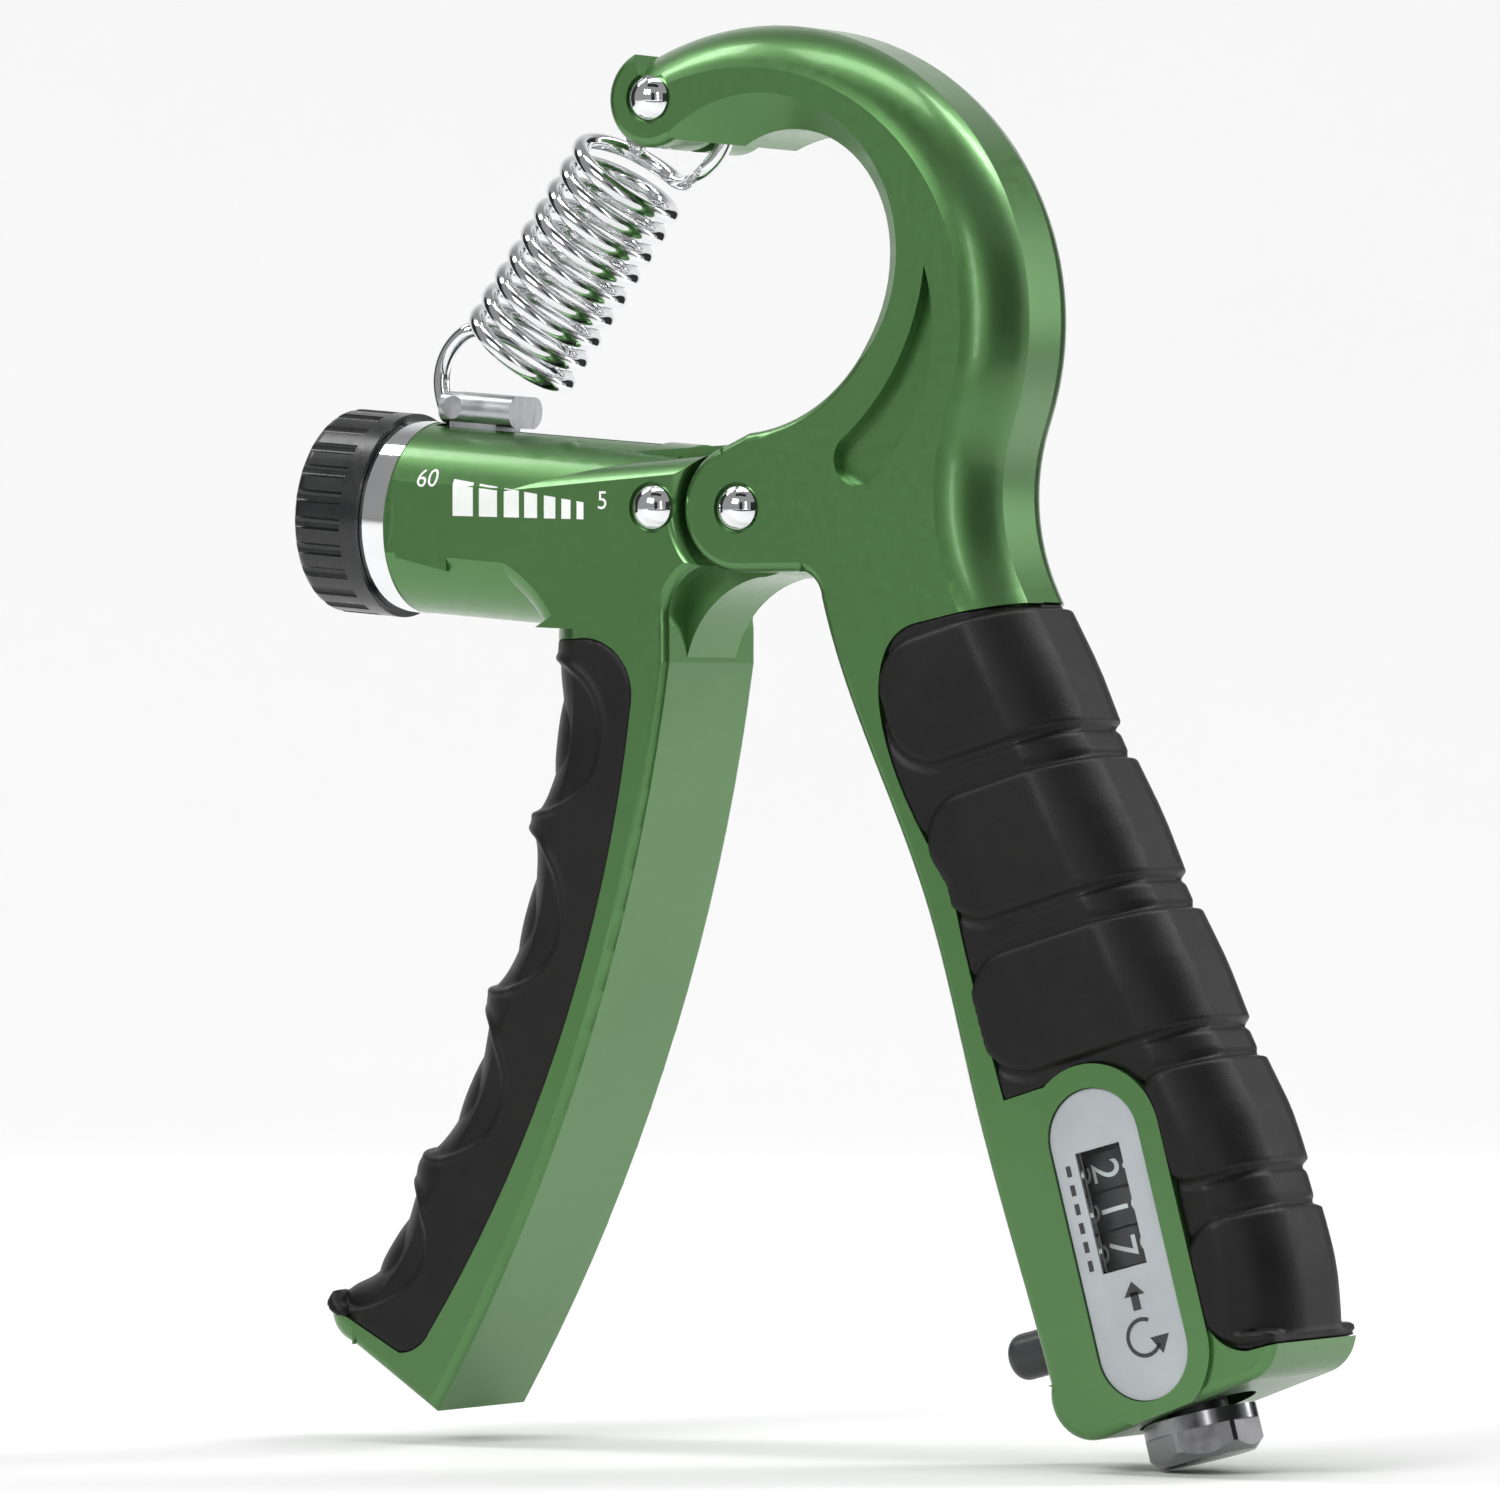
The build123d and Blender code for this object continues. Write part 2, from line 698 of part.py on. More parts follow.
def lever_edges():
    """The lever's full-depth outline, clockwise, as named edges."""
    shoulder_top = on_circle((0, 0), shoulder_radius, 131)
    shoulder_low = on_circle((0, 0), shoulder_radius, 232)
    inside_top = stem(-9.2, 0.0)
    inside_bend = stem(-9.2, 0.045)
    inside_foot = stem(-39.7, 1.0)
    foot_left = stem(-50.6, 0.918)
    outside_foot = stem(-54.0, 0.857)
    outside_top = stem(-26.2, 0.0)
    under = (-38.0, -6.6)
    tube_low = (tube_mouth[0] + overlap, -5.0)
    tube_high = (tube_mouth[0] + overlap, 3.3)
    return {
        "top": Line(tube_high, shoulder_top),
        "shoulder": ThreePointArc(shoulder_top, on_circle((0, 0), shoulder_radius, 180), shoulder_low),
        "neck": ThreePointArc(shoulder_low, (-8.5, -9.0), inside_top),
        "inside_top": Line(inside_top, inside_bend),
        "inside": ThreePointArc(inside_bend, stem(-16.6, 0.42), inside_foot),
        "foot": Line(inside_foot, foot_left),
        "foot_corner": ThreePointArc(foot_left, stem(-54.2, 0.886), outside_foot),
        "outside": ThreePointArc(outside_foot, stem(-32.6, 0.401), outside_top),
        "under": ThreePointArc(outside_top, (-30.2, -8.8), under),
        "tube_under": Line(under, tube_low),
        "end": Line(tube_low, tube_high),
    }


def lever_envelope():
    """Outer shape of the lever's full-depth plate and tube, rubber included."""
    edges = lever_edges()
    plate = slab(outline(*edges.values()), -half, half)
    plate -= rim_cutter(edges["outside"], rim_face_width, rim_side_width)
    plate -= rim_cutter(edges["foot_corner"], 2, 2)
    plate -= rim_cutter(edges["under"], 2.5, 3)
    plate -= rim_cutter(edges["top"], 2, 4)
    for name in ("shoulder", "neck", "inside_top", "inside", "foot"):
        plate -= rim_cutter(edges[name], edge_radius, edge_radius)
    tube = tube_plane * bar(tube_radius, 0, tube_length) & slab(Rectangle(300, 300), -half, half)
    return plate + tube - rod((0, 0), shoulder_radius, -half - overlap, half + overlap)


def make_finger_rubber(envelope):
    """Rubber skin on the finger side of the lever."""
    outside = lever_edges()["outside"]
    top = (-21.0, -14.3)
    side = stem(-13.6, 0.095)
    side_foot = stem(-40.2, 0.898)
    foot = stem(-44.3, 0.927)
    far = (-70.0, foot[1] + 14)
    front_region = outline(
        ThreePointArc(top, (-15.4, -16.1), side),
        ThreePointArc(side, stem(-21.4, 0.475), side_foot),
        ThreePointArc(side_foot, stem(-42.0, 0.92), foot),
        Line(foot, far),
        Line(far, (-70.0, top[1])),
        Line((-70.0, top[1]), top),
    )
    inner = inset([outside], finger_flange)[0]
    back_region = outline(inner, Polyline(inner @ 1, (-70.0, (inner @ 1).Y), far, inner @ 0))
    back_region &= Pos(-40.0, top[1] - 60.0) * Rectangle(120.0, 120.0)
    front = envelope & slab(front_region, -half - overlap, 0)
    back = envelope & slab(back_region, 0, half + overlap)
    below = Line(outside @ 0 - outside % 0 * 12, outside @ 0)
    above = Line(outside @ 1, outside @ 1 + outside % 1 * 6)
    return front + back - skin_core([below, outside, above], 10)


def lever_pocket():
    """Outline of the hollow behind the lever."""
    edges = lever_edges()
    side = finger_flange + cover_ledge + 1.4
    left = [edges["outside"] @ place + Vector(side, 0) for place in (0.93, 0.74, 0.55, 0.34, 0.12)]
    right = [edges["inside"] @ place - Vector(wall + cover_ledge, 0) for place in (0.03, 0.45, 0.86)]
    return make_face(Polyline(*left, *right[::-1], close=True))


def lever_screw_places():
    """Where the screws of the lever's back cover sit."""
    edges = lever_edges()
    places = []
    for outside, inside in ((0.87, 0.09), (0.5, 0.48), (0.17, 0.81)):
        left = edges["outside"] @ outside + Vector(finger_flange + cover_ledge + 1.4, 0)
        right = edges["inside"] @ inside - Vector(wall + cover_ledge, 0)
        middle = (left + right) / 2
        places.append((middle.X, middle.Y))
    return places


def make_tongue():
    """Tongue of the lever between the handle's two cheeks."""
    fillet_start = (0, -tongue_radius)
    face = outline(
        Polyline((-16, 6.6), (-2, 7.2), (0, 0), fillet_start),
        ThreePointArc(fillet_start, (-5.4, -10.2), stem(-9.4, 0.05)),
        Polyline(stem(-9.4, 0.05), stem(-16, 0.05), (-16, 6.6)),
    )
    return slab(face + Circle(tongue_radius), -tongue_half, tongue_half)


def make_lever_body(envelope, rubber):
    """Lever with its tube, tongue, bore and pocket."""
    body = envelope - rubber + make_tongue()
    body -= tube_plane * bar(bore_radius, -overlap, bore_depth)
    slot_end = nut_start + nut_length + slider_travel + 1.6
    body -= tube_plane * block((0, -slot_width / 2, slot_start), (tube_radius + 3, slot_width / 2, slot_end))
    body -= pin_seats(bearing_pin_centre)
    body -= rod((0, 0), bush_radius, -tongue_half, tongue_half)
    return hollowed(body, lever_pocket(), lever_screw_places())


def make_bearing_block():
    """Block that holds the far end of the lead screw."""
    start = bore_depth - journal_length - 0.6
    body = tube_plane * ring(bore_radius - running_gap, journal_radius + running_gap, start, bore_depth)
    return body - rod(bearing_pin_centre, pin_radius, -half, half)


def make_end_bush():
    """Flanged bush that closes the tube round the lead screw."""
    bush = ring(bore_radius - running_gap, screw_radius + running_gap, 0, nut_start - part_gap - slide_gap)
    side = slot_width / 2
    opening = block((bore_radius - bush_wall, -side, -1), (bore_radius + 1, side, nut_start))
    return tube_plane * (bush - opening)


def make_collar():
    """Bright ring between the tube and the knob, with an index notch."""
    collar = ring(collar_radius, hub_radius + part_gap, collar_face, 0)
    notch = block((-2.2, -collar_radius - 1, collar_face), (-0.6, 0.45 - collar_radius, 0))
    return tube_plane * (collar - notch)


def make_knob():
    """Fluted adjusting knob with its hub."""
    inner = collar_face - slide_gap
    outer = inner - knob_length
    knob = bar(knob_radius, outer, inner)
    knob = fillet(knob.edges().group_by(Axis.Z)[0], 1.4)
    for flute in range(knob_flutes):
        place = Rot(0, 0, 360 * (flute + 0.5) / knob_flutes) * Pos(knob_radius + 0.2, 0)
        knob -= place * bar(flute_radius, outer - overlap, inner - 2.2)
    knob -= bar(knob_radius - 3.4, outer - 1, outer + 1)
    knob += ring(hub_radius, screw_radius, inner, -0.8)
    knob -= bar(screw_radius, outer + 3.4, inner + 5)
    knob -= bar(3.0, outer, outer + 2.2) + bar(1.2, outer, outer + 5)
    return tube_plane * knob


def make_knob_screw():
    """Screw that fastens the knob to the lead screw."""
    outer = collar_face - slide_gap - knob_length
    screw = bar(2.7, outer + 0.9, outer + 2.2) + bar(1.2, outer + 2.2, outer + 9)
    return tube_plane * (screw - block((-2, -0.35, outer), (2, 0.35, outer + 1.4)))


def make_lead_screw():
    """Lead screw from the knob to the bearing block."""
    start = collar_face - slide_gap - knob_length + 3.4
    end = bore_depth - journal_length - 0.6
    screw = bar(screw_radius, start, end - slide_gap) + bar(journal_radius, start, bore_depth - part_gap)
    return tube_plane * (screw - bar(1.2, start - overlap, start + 5.6))


def make_slider():
    """Nut on the lead screw with the raised boss that holds the spring's hook."""
    neck_half = slot_width / 2 - slide_gap
    boss_low = hook_height - boss_height / 2
    boss_end = boss_start + boss_length
    nut = bar(bore_radius - slide_gap, nut_start, nut_start + nut_length)
    neck = block((4, -neck_half, nut_start + 0.4), (boss_low + 1, neck_half, nut_start + nut_length - 0.4))
    boss = block((boss_low, -boss_width / 2, boss_start), (boss_low + boss_height, boss_width / 2, boss_end))
    boss = fillet(boss.edges().filter_by(Axis.Z), 1.7)
    slider = nut + neck + boss
    slider -= bar(screw_radius + running_gap, nut_start - overlap, nut_start + nut_length + overlap)
    slider -= block((7.9, -wire_gap / 2, 0), (hook_height + 5, wire_gap / 2, boss_end - 2.4))
    return tube_plane * slider - rod(hook_point, hook_pin_radius, -half, half)


def make_slider_pin():
    """Cross pin of the slider, on which the spring's lower hook hangs."""
    length = boss_width / 2 - slide_gap
    return rod(hook_point, hook_pin_radius, -length, length)


def make_washers():
    """Thin washers between the tongue and the handle's cheeks."""
    face = Circle(washer_radius) - Circle(pin_radius + running_gap)
    start = tongue_half + running_gap
    return Compound([slab(face, start, fork_half), slab(face, -fork_half, -start)])


def make_pivot_bush():
    """Bush in the lever's tongue that runs on the main pin."""
    face = Circle(bush_radius) - Circle(pin_radius + running_gap)
    return slab(face, -tongue_half, tongue_half)


def make_spring_roller():
    """Roller on the arch's pin that the spring's loop hangs on."""
    face = Circle(roller_radius) - Circle(pin_radius + running_gap)
    width = wire_gap / 2 - slide_gap
    return slab(Pos(*lug_centre) * face, -width, width)


def bent_wire(*edges):
    """Wire bent along edges drawn in the middle plane."""
    path = Wire([Plane.XZ * edge for edge in edges])
    profile = Plane(origin=path @ 0, z_dir=path % 0) * Circle(wire_radius)
    return sweep(profile, path=path)


def make_upper_hook():
    """Loop at the top of the spring, closed round the arch's roller."""
    centre = upper_loop_centre()
    coil_end = coil_plane.from_local_coords(Vector(coil_radius, 0, coil_axis.length))
    start = Vector(coil_end.X, coil_end.Z)
    away = start - centre
    joint_angle = degrees(atan2(away.Y, away.X) + acos(coil_radius / away.length))
    straight = Line(start, on_circle(centre, coil_radius, joint_angle))
    loop = TangentArc(straight @ 1, on_circle(centre, coil_radius, 200), tangent=straight % 1)
    return bent_wire(straight, loop)


def make_lower_hook():
    """Open hook at the foot of the spring, passed under the slider's cross pin."""
    reach = coil_radius - wire_radius - hook_pin_radius - running_gap
    centre = Vector(*hook_point) + pull * reach
    ends = [on_circle(centre, coil_radius, angle) for angle in (107, 180, 275)]
    return bent_wire(ThreePointArc(*ends))


def make_main_coil():
    """Upper turns of the spring."""
    start = coil_turns - main_turns
    turns = main_turns - 2 * joint_gap
    place = Pos(0, 0, coil_pitch * (start + joint_gap)) * Rot(0, 0, -360 * (start + joint_gap))
    return coil_plane * place * coil(coil_radius, wire_radius, coil_pitch, turns)


def make_end_coil():
    """Lower turns of the spring."""
    turns = coil_turns - main_turns - 2 * joint_gap
    place = Pos(0, 0, coil_pitch * joint_gap) * Rot(0, 0, -360 * joint_gap)
    return coil_plane * place * coil(coil_radius, wire_radius, coil_pitch, turns)


def make_all():
    """Every piece of the hand grip, by name, in the modelling position."""
    envelope = handle_envelope()
    palm_rubber = make_palm_rubber(envelope)
    lever_shape = lever_envelope()
    finger_rubber = make_finger_rubber(lever_shape)
    return {
        "handle_body": make_handle_body(envelope, palm_rubber),
        "palm_grip": palm_rubber,
        "handle_back_cover": make_cover(handle_pocket(), handle_screw_places()),
        "handle_cover_screws": make_screws(handle_screw_places()),
        "pivot_pin": make_domed_pin((0, 0)),
        "pivot_washers": make_washers(),
        "spring_pin": make_domed_pin(lug_centre),
        "counter_plate": make_counter_plate(),
        "counter_window": make_window_lens(),
        "counter_frame": make_counter_frame(),
        "pinion_shaft": make_pinion_shaft(),
        "units_wheel": make_units_wheel(),
        "tens_wheel": counter_plane * number_wheel(0),
        "hundreds_wheel": counter_plane * number_wheel(-1),
        "carry_pinion_tens": make_carry_pinion(0.5),
        "carry_pinion_hundreds": make_carry_pinion(-0.5),
        "counter_spindle": make_spindle(),
        "reset_knob": make_reset_knob(),
        "reset_bush": make_reset_bush(),
        "reset_spring": make_reset_spring(),
        "trigger_button": make_trigger_button(),
        "trigger_pawl": make_trigger_pawl(),
        "trigger_spring": make_trigger_spring(),
        "lever_body": make_lever_body(lever_shape, finger_rubber),
        "finger_grip": finger_rubber,
        "lever_back_cover": make_cover(lever_pocket(), lever_screw_places()),
        "lever_cover_screws": make_screws(lever_screw_places()),
        "pivot_bush": make_pivot_bush(),
        "bearing_block": make_bearing_block(),
        "bearing_pin": make_domed_pin(bearing_pin_centre),
        "tube_end_bush": make_end_bush(),
        "collar": make_collar(),
        "adjusting_knob": make_knob(),
        "knob_screw": make_knob_screw(),
        "lead_screw": make_lead_screw(),
        "slider": make_slider(),
        "slider_cross_pin": make_slider_pin(),
        "spring_roller": make_spring_roller(),
        "spring_upper_hook": make_upper_hook(),
        "spring_coil": make_main_coil(),
        "spring_end_coil": make_end_coil(),
        "spring_lower_hook": make_lower_hook(),
    }


def base_shift(pieces):
    """Move that brings the middle of the base of the whole box to the origin."""
    box = Compound(list(pieces.values())).bounding_box()
    return Pos(-(box.min.X + box.max.X) / 2, -(box.min.Y + box.max.Y) / 2, -box.min.Z)


def main():
    """Builds every piece and writes it to its own file."""
    os.makedirs("parts", exist_ok=True)
    pieces = make_all()
    shift = base_shift(pieces)
    for name, piece in pieces.items():
        export_step(shift * piece, f"parts/{name}.step")


if __name__ == "__main__":
    main()
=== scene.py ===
import json
import math

import bmesh
import bpy
import numpy as np
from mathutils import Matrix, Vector
from mathutils.bvhtree import BVHTree


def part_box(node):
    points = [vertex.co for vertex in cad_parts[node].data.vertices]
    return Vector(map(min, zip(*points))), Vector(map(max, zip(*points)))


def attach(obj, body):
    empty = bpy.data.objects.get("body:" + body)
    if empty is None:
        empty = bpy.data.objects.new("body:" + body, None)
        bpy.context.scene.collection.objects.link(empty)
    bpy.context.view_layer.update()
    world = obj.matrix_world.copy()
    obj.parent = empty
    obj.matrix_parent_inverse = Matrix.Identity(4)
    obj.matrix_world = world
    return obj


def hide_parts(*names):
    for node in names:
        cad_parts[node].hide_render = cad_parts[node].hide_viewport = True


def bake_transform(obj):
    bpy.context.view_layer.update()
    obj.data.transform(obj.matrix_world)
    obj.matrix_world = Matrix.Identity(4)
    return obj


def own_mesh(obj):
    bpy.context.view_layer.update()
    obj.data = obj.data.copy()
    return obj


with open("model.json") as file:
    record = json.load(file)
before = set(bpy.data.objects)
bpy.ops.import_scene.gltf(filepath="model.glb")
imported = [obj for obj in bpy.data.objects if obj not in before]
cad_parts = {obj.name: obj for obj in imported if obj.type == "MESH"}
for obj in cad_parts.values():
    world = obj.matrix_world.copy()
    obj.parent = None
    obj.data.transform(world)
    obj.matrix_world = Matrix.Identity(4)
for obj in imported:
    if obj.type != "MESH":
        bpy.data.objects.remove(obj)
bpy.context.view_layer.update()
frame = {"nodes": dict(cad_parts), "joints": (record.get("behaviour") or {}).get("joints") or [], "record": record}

MM = 0.001
joints = {j["name"]: j for j in frame["joints"]}
nodes = frame["nodes"]
PIVOT = Vector(joints["squeeze"]["pos_m"])
ANCHOR = Vector(joints["spring_swing"]["pos_m"])
WHEEL = Vector(joints["tens_turn"]["pos_m"])
WHEEL_AXIS = Vector(joints["tens_turn"]["axis"]).normalized()
ACROSS = Vector(joints["trigger_press"]["axis"]).normalized()


def place(x, z, y=0.0):
    """Point given in millimetres from the main pivot."""
    return PIVOT + Vector((x, y, z)) * MM


def add_mesh(name, verts, faces, smooth=True):
    mesh = bpy.data.meshes.new(name)
    mesh.from_pydata([tuple(v) for v in verts], [], faces)
    mesh.validate()
    if smooth:
        mesh.polygons.foreach_set("use_smooth", [True] * len(mesh.polygons))
    mesh.update()
    obj = bpy.data.objects.new(name, mesh)
    bpy.context.scene.collection.objects.link(obj)
    return obj


# ---------------------------------------------------------------- materials


class Nodes:
    """Small helper for building a procedural material."""

    def __init__(self, name):
        self.mat = bpy.data.materials.new(name)
        self.mat.use_nodes = True
        self.tree = self.mat.node_tree
        self.bsdf = self.tree.nodes["Principled BSDF"]
        self.coord = self.tree.nodes.new("ShaderNodeTexCoord").outputs["Object"]

    def noise(self, scale, detail=3.0, rough=0.55, stretch=None):
        vector = self.coord
        if stretch:
            mapping = self.tree.nodes.new("ShaderNodeMapping")
            mapping.inputs["Scale"].default_value = stretch
            self.tree.links.new(vector, mapping.inputs["Vector"])
            vector = mapping.outputs["Vector"]
        node = self.tree.nodes.new("ShaderNodeTexNoise")
        node.inputs["Scale"].default_value = scale
        node.inputs["Detail"].default_value = detail
        node.inputs["Roughness"].default_value = rough
        self.tree.links.new(vector, node.inputs["Vector"])
        return node.outputs["Fac"]

    def ramp(self, fac, stops):
        node = self.tree.nodes.new("ShaderNodeValToRGB")
        ramp = node.color_ramp
        while len(ramp.elements) < len(stops):
            ramp.elements.new(0.5)
        for element, (position, colour) in zip(ramp.elements, stops):
            element.position = position
            element.color = (*colour, 1.0)
        self.tree.links.new(fac, node.inputs["Fac"])
        return node.outputs["Color"]

    def value(self, fac, low, high):
        node = self.tree.nodes.new("ShaderNodeMapRange")
        node.inputs["From Min"].default_value = 0.3
        node.inputs["From Max"].default_value = 0.7
        node.inputs["To Min"].default_value = low
        node.inputs["To Max"].default_value = high
        self.tree.links.new(fac, node.inputs["Value"])
        return node.outputs["Result"]

    def bump(self, height, strength, distance):
        node = self.tree.nodes.new("ShaderNodeBump")
        node.inputs["Strength"].default_value = strength
        node.inputs["Distance"].default_value = distance
        self.tree.links.new(height, node.inputs["Height"])
        self.tree.links.new(node.outputs["Normal"], self.bsdf.inputs["Normal"])

    def link(self, output, name):
        self.tree.links.new(output, self.bsdf.inputs[name])

    def set(self, **values):
        for key, value in values.items():
            self.bsdf.inputs[key.replace("_", " ")].default_value = value
        return self


def shell_material():
    m = Nodes("green_shell")
    m.set(Metallic=0.8, Coat_Weight=0.35, Coat_Roughness=0.1)
    cloud = m.noise(28.0, 2.0)
    m.link(m.ramp(cloud, [(0.3, (0.085, 0.205, 0.066)), (0.7, (0.095, 0.225, 0.074))]), "Base Color")
    m.link(m.value(m.noise(900.0, 4.0), 0.3, 0.36), "Roughness")
    m.bump(m.noise(1500.0, 3.0), 0.025, 0.0001)
    return m.mat


def rubber_material():
    m = Nodes("black_rubber")
    m.set(Sheen_Weight=0.015, Sheen_Roughness=0.5, Specular_IOR_Level=0.24)
    cloud = m.noise(60.0, 4.0)
    m.link(m.ramp(cloud, [(0.3, (0.0045, 0.0042, 0.0042)), (0.7, (0.008, 0.0075, 0.0073))]), "Base Color")
    m.link(m.value(m.noise(220.0, 5.0), 0.38, 0.48), "Roughness")
    m.bump(m.noise(3200.0, 5.0, 0.7), 0.2, 0.0002)
    return m.mat


def chrome_material(name, colour, low, high):
    m = Nodes(name)
    m.set(Metallic=1.0)
    cloud = m.noise(90.0, 3.0)
    dark = tuple(0.9 * c for c in colour)
    m.link(m.ramp(cloud, [(0.3, dark), (0.7, colour)]), "Base Color")
    m.link(m.value(m.noise(600.0, 4.0), low, high), "Roughness")
    m.bump(m.noise(1800.0, 3.0), 0.02, 0.0002)
    return m.mat


def turned_material(name, colour, low, high, stretch):
    m = Nodes(name)
    m.set(Metallic=1.0)
    streak = m.noise(300.0, 5.0, 0.6, stretch)
    dark = tuple(0.75 * c for c in colour)
    m.link(m.ramp(streak, [(0.3, dark), (0.7, colour)]), "Base Color")
    m.link(m.value(streak, low, high), "Roughness")
    m.bump(streak, 0.12, 0.0002)
    return m.mat


def plastic_material(name, colour, low, high, grain=0.1, coat=0.0):
    m = Nodes(name)
    m.set(Coat_Weight=coat, Coat_Roughness=0.15)
    cloud = m.noise(120.0, 4.0)
    dark = tuple(0.85 * c for c in colour)
    m.link(m.ramp(cloud, [(0.3, dark), (0.7, colour)]), "Base Color")
    m.link(m.value(m.noise(500.0, 4.0), low, high), "Roughness")
    m.bump(m.noise(2400.0, 4.0), grain, 0.0002)
    return m.mat


def lens_material():
    m = Nodes("clear_lens")
    m.set(Transmission_Weight=1.0, IOR=1.2, Base_Color=(0.97, 0.99, 0.98, 1.0))
    m.link(m.value(m.noise(200.0, 3.0), 0.01, 0.05), "Roughness")
    return m.mat


GREEN = shell_material()
RUBBER = rubber_material()
CHROME = chrome_material("polished_steel", (0.86, 0.87, 0.88), 0.04, 0.09)
WIRE = chrome_material("spring_wire", (0.83, 0.84, 0.85), 0.05, 0.12)
STEEL = turned_material("plain_steel", (0.55, 0.56, 0.58), 0.25, 0.4, (1.0, 6.0, 1.0))
BRASS = turned_material("brass_bush", (0.75, 0.55, 0.25), 0.2, 0.35, (1.0, 6.0, 1.0))
KNOB = plastic_material("knob_black", (0.007, 0.0075, 0.0085), 0.25, 0.36, 0.1, 0.15)
GUNMETAL = chrome_material("gunmetal", (0.27, 0.27, 0.28), 0.18, 0.28)
WHEELS = plastic_material("wheel_black", (0.022, 0.024, 0.028), 0.35, 0.5)
SILVER = plastic_material("silver_plate", (0.42, 0.45, 0.47), 0.3, 0.42, 0.1, 0.2)
WHITE = plastic_material("acetal_white", (0.78, 0.78, 0.76), 0.35, 0.5)
GREY = plastic_material("trigger_grey", (0.03, 0.03, 0.033), 0.3, 0.42)
INK = plastic_material("white_ink", (0.86, 0.89, 0.86), 0.45, 0.6, 0.05)
DARK_INK = plastic_material("dark_ink", (0.03, 0.032, 0.036), 0.45, 0.6, 0.05)
DIGIT_INK = plastic_material("digit_ink", (0.72, 0.75, 0.75), 0.45, 0.6, 0.05)
LENS = lens_material()

BY_SLOT = {
    "shell": GREEN,
    "cover": GREEN,
    "rubber_grip": RUBBER,
    "polished_steel": CHROME,
    "spring_steel": WIRE,
    "plain_steel": STEEL,
    "brass_bush": BRASS,
    "knob_black": KNOB,
    "counter_black": WHEELS,
    "plate_silver": SILVER,
    "clear": LENS,
    "white_plastic": WHITE,
    "trigger_grey": GREY,
    "gunmetal": GUNMETAL,
}

for part in frame["record"]["subparts"]:
    node = nodes[part["node"]]
    node.data.materials.clear()
    node.data.materials.append(BY_SLOT[part["material_slot"]])


# ---------------------------------------------------------------- rubber grips


GRIP_VOXEL = 0.34


def smoothstep(x, low, high):
    t = np.clip((x - low) / (high - low), 0, 1)
    return t * t * (3 - 2 * t)


def remeshed(node_name, name, voxel):
    """A fine, even copy of a CAD node's surface."""
    source = nodes[node_name]
    copy = bpy.data.objects.new(name + "_source", source.data.copy())
    bpy.context.scene.collection.objects.link(copy)
    modifier = copy.modifiers.new("remesh", "REMESH")
    modifier.mode = "VOXEL"
    modifier.voxel_size = voxel * MM
    modifier.use_smooth_shade = True
    smooth = copy.modifiers.new("smooth", "SMOOTH")
    smooth.factor = 0.5
    smooth.iterations = 3
    graph = bpy.context.evaluated_depsgraph_get()
    mesh = bpy.data.meshes.new_from_object(copy.evaluated_get(graph))
    bpy.data.objects.remove(copy)
    obj = bpy.data.objects.new(name, mesh)
    bpy.context.scene.collection.objects.link(obj)
    mesh.polygons.foreach_set("use_smooth", [True] * len(mesh.polygons))
    return obj


def displace(obj, height):
    """Moves each vertex along its normal by height(x, y, z) in millimetres from the pivot."""
    mesh = obj.data
    count = len(mesh.vertices)
    co = np.empty(count * 3)
    mesh.vertices.foreach_get("co", co)
    co = co.reshape(-1, 3)
    normal = np.empty(count * 3)
    mesh.vertex_normals.foreach_get("vector", normal)
    normal = normal.reshape(-1, 3)
    local = (co - np.array(PIVOT)) / MM
    amount = height(local[:, 0], local[:, 1], local[:, 2])
    co = co + normal * amount[:, None] * MM
    mesh.vertices.foreach_set("co", co.ravel())
    mesh.update()


# each pad of the palm grip: top, bottom (height less PAD_SLOPE of the distance out) and left end
PADS = [
    (-21.2, -35.9, 19.0),
    (-39.9, -54.7, 25.2),
    (-58.7, -72.9, 30.6),
    (-77.0, -90.2, 50.8),
    (-95.0, -109.5, 57.2),
]
PAD_SLOPE = 0.3
PAD_CORNER = 5.5
BACK_START = 2.0  # behind this depth the pads have no left end
NO_END = -200.0


def palm_height(x, y, z):
    v = z - PAD_SLOPE * x
    total = np.zeros_like(x)
    for top, bottom, left in PADS:
        middle, half = (top + bottom) / 2, (top - bottom) / 2
        lean = left + PAD_SLOPE * (middle - v)
        side = np.where(y > BACK_START, NO_END, lean)
        radius = PAD_CORNER
        dx = np.maximum(side + radius - x, 0.0)
        dv = np.maximum(np.abs(v - middle) - (half - radius), 0.0)
        inside = np.minimum(np.maximum(side + radius - x, np.abs(v - middle) - (half - radius)), 0.0)
        distance = np.hypot(dx, dv) + inside - radius
        plateau = smoothstep(-distance, -0.15, 0.55)
        crown = 0.25 * np.clip(-distance / 6.0, 0, 1)
        groove = -0.35 * np.exp(-(((distance - 0.35) / 0.45) ** 2))
        total += plateau * (0.55 + crown) + groove
    return total


palm = remeshed("palm_grip", "palm_rubber", GRIP_VOXEL)
displace(palm, palm_height)
palm.data.materials.clear()
palm.data.materials.append(RUBBER)
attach(palm, "frame")
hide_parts("palm_grip")

# each dent of the finger grip: x of the silhouette, height of the middle, reach inwards, half height
DENTS = [
    (-27.6, -25.2, 10.0, 8.6),
    (-31.9, -44.6, 9.2, 9.2),
    (-39.2, -64.0, 9.0, 8.8),
    (-49.2, -82.5, 9.2, 7.6),
]
RIDGES = [(-29.4, -35.0), (-35.2, -54.4), (-43.8, -73.4), (-52.2, -88.0)]


